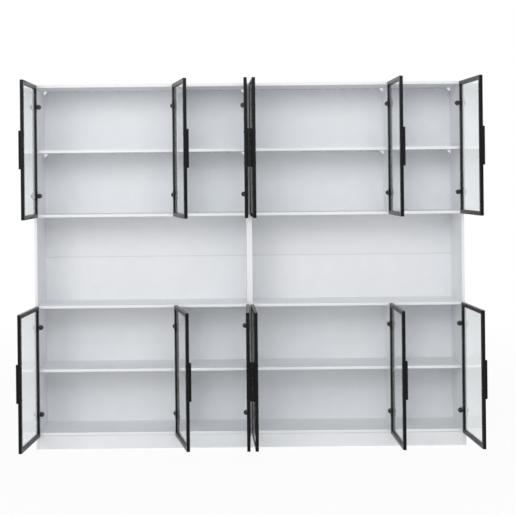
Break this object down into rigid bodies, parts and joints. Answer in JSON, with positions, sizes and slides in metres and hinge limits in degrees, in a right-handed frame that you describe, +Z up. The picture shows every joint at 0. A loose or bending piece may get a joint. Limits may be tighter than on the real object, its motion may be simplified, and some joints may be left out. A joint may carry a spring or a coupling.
{
  "type": "glass-door bookcase",
  "caption": "Tall white display bookcase in matching units, with shelved bays behind slim black-framed glass doors above and below an open middle bay.",
  "frame": {"origin": "on the floor, in the middle of the carcass footprint, where the two units meet", "axes": "+X to the right along the row of doors, +Y to the back, +Z up"},
  "size_m": [2.4265, 0.6957, 2],
  "materials": {
    "white_board": "matt white melamine on particle board",
    "white_back": "matt white lacquered fibreboard",
    "bright_plate": "bright plated steel corner angle",
    "dowel_wood": "plain beech dowel",
    "screw_steel": "zinc-plated steel",
    "hinge_metal": "dark satin hinge metal",
    "black_frame": "matt black anodised aluminium",
    "clear_glass": "clear float glass",
    "black_hardware": "matt black door hardware"
  },
  "bodies": {
    "carcass": {"left_unit_side_left": "white_board", "left_unit_side_right": "white_board", "left_unit_bottom_panel": "white_board", "left_unit_lower_top": "white_board", "left_unit_upper_floor": "white_board", "left_unit_top_panel": "white_board", "left_unit_dividers": "white_board", "left_unit_shelves": "white_board", "left_unit_back_panels": "white_back", "right_unit_side_left": "white_board", "right_unit_side_right": "white_board", "right_unit_bottom_panel": "white_board", "right_unit_lower_top": "white_board", "right_unit_upper_floor": "white_board", "right_unit_top_panel": "white_board", "right_unit_dividers": "white_board", "right_unit_shelves": "white_board", "right_unit_back_panels": "white_back", "plinths": "white_board", "corner_blocks": "bright_plate", "dowels": "dowel_wood", "carcass_screws": "screw_steel", "hinge_arms": "hinge_metal", "hinge_screws": "screw_steel"},
    "left_unit_lower_left_door": {"left_unit_lower_left_frame": "black_frame", "left_unit_lower_left_glass": "clear_glass", "left_unit_lower_left_hardware": "black_hardware"},
    "left_unit_upper_left_door": {"left_unit_upper_left_frame": "black_frame", "left_unit_upper_left_glass": "clear_glass", "left_unit_upper_left_hardware": "black_hardware"},
    "left_unit_lower_middle_door": {"left_unit_lower_middle_frame": "black_frame", "left_unit_lower_middle_glass": "clear_glass", "left_unit_lower_middle_hardware": "black_hardware"},
    "left_unit_upper_middle_door": {"left_unit_upper_middle_frame": "black_frame", "left_unit_upper_middle_glass": "clear_glass", "left_unit_upper_middle_hardware": "black_hardware"},
    "left_unit_lower_right_door": {"left_unit_lower_right_frame": "black_frame", "left_unit_lower_right_glass": "clear_glass", "left_unit_lower_right_hardware": "black_hardware"},
    "left_unit_upper_right_door": {"left_unit_upper_right_frame": "black_frame", "left_unit_upper_right_glass": "clear_glass", "left_unit_upper_right_hardware": "black_hardware"},
    "right_unit_lower_left_door": {"right_unit_lower_left_frame": "black_frame", "right_unit_lower_left_glass": "clear_glass", "right_unit_lower_left_hardware": "black_hardware"},
    "right_unit_upper_left_door": {"right_unit_upper_left_frame": "black_frame", "right_unit_upper_left_glass": "clear_glass", "right_unit_upper_left_hardware": "black_hardware"},
    "right_unit_lower_middle_door": {"right_unit_lower_middle_frame": "black_frame", "right_unit_lower_middle_glass": "clear_glass", "right_unit_lower_middle_hardware": "black_hardware"},
    "right_unit_upper_middle_door": {"right_unit_upper_middle_frame": "black_frame", "right_unit_upper_middle_glass": "clear_glass", "right_unit_upper_middle_hardware": "black_hardware"},
    "right_unit_lower_right_door": {"right_unit_lower_right_frame": "black_frame", "right_unit_lower_right_glass": "clear_glass", "right_unit_lower_right_hardware": "black_hardware"},
    "right_unit_upper_right_door": {"right_unit_upper_right_frame": "black_frame", "right_unit_upper_right_glass": "clear_glass", "right_unit_upper_right_hardware": "black_hardware"}
  },
  "joints": [
    {"name": "left_unit_lower_left_hinge", "type": "hinge", "parent": "carcass", "child": "left_unit_lower_left_door", "pos_m": [-1.17, -0.1655, 0], "axis": [0, 0, -1], "range_deg": [-94.6, 10.4]},
    {"name": "left_unit_upper_left_hinge", "type": "hinge", "parent": "carcass", "child": "left_unit_upper_left_door", "pos_m": [-1.17, -0.1655, 0], "axis": [0, 0, -1], "range_deg": [-90.7, 14.3]},
    {"name": "left_unit_lower_middle_hinge", "type": "hinge", "parent": "carcass", "child": "left_unit_lower_middle_door", "pos_m": [-0.404, -0.1655, 0], "axis": [0, 0, 1], "range_deg": [-101.3, 3.7]},
    {"name": "left_unit_upper_middle_hinge", "type": "hinge", "parent": "carcass", "child": "left_unit_upper_middle_door", "pos_m": [-0.404, -0.1655, 0], "axis": [0, 0, 1], "range_deg": [-101.3, 3.7]},
    {"name": "left_unit_lower_right_hinge", "type": "hinge", "parent": "carcass", "child": "left_unit_lower_right_door", "pos_m": [-0.01, -0.1655, 0], "axis": [0, 0, 1], "range_deg": [-88.7, 0]},
    {"name": "left_unit_upper_right_hinge", "type": "hinge", "parent": "carcass", "child": "left_unit_upper_right_door", "pos_m": [-0.01, -0.1655, 0], "axis": [0, 0, 1], "range_deg": [-88.7, 0]},
    {"name": "right_unit_lower_left_hinge", "type": "hinge", "parent": "carcass", "child": "right_unit_lower_left_door", "pos_m": [0.01, -0.1655, 0], "axis": [0, 0, -1], "range_deg": [-88.7, 0]},
    {"name": "right_unit_upper_left_hinge", "type": "hinge", "parent": "carcass", "child": "right_unit_upper_left_door", "pos_m": [0.01, -0.1655, 0], "axis": [0, 0, -1], "range_deg": [-88.7, 0]},
    {"name": "right_unit_lower_middle_hinge", "type": "hinge", "parent": "carcass", "child": "right_unit_lower_middle_door", "pos_m": [0.776, -0.1655, 0], "axis": [0, 0, 1], "range_deg": [-91.2, 13.8]},
    {"name": "right_unit_upper_middle_hinge", "type": "hinge", "parent": "carcass", "child": "right_unit_upper_middle_door", "pos_m": [0.776, -0.1655, 0], "axis": [0, 0, 1], "range_deg": [-91.2, 13.8]},
    {"name": "right_unit_lower_right_hinge", "type": "hinge", "parent": "carcass", "child": "right_unit_lower_right_door", "pos_m": [1.17, -0.1655, 0], "axis": [0, 0, 1], "range_deg": [-93.6, 11.4]},
    {"name": "right_unit_upper_right_hinge", "type": "hinge", "parent": "carcass", "child": "right_unit_upper_right_door", "pos_m": [1.17, -0.1655, 0], "axis": [0, 0, 1], "range_deg": [-93.6, 11.4]}
  ]
}
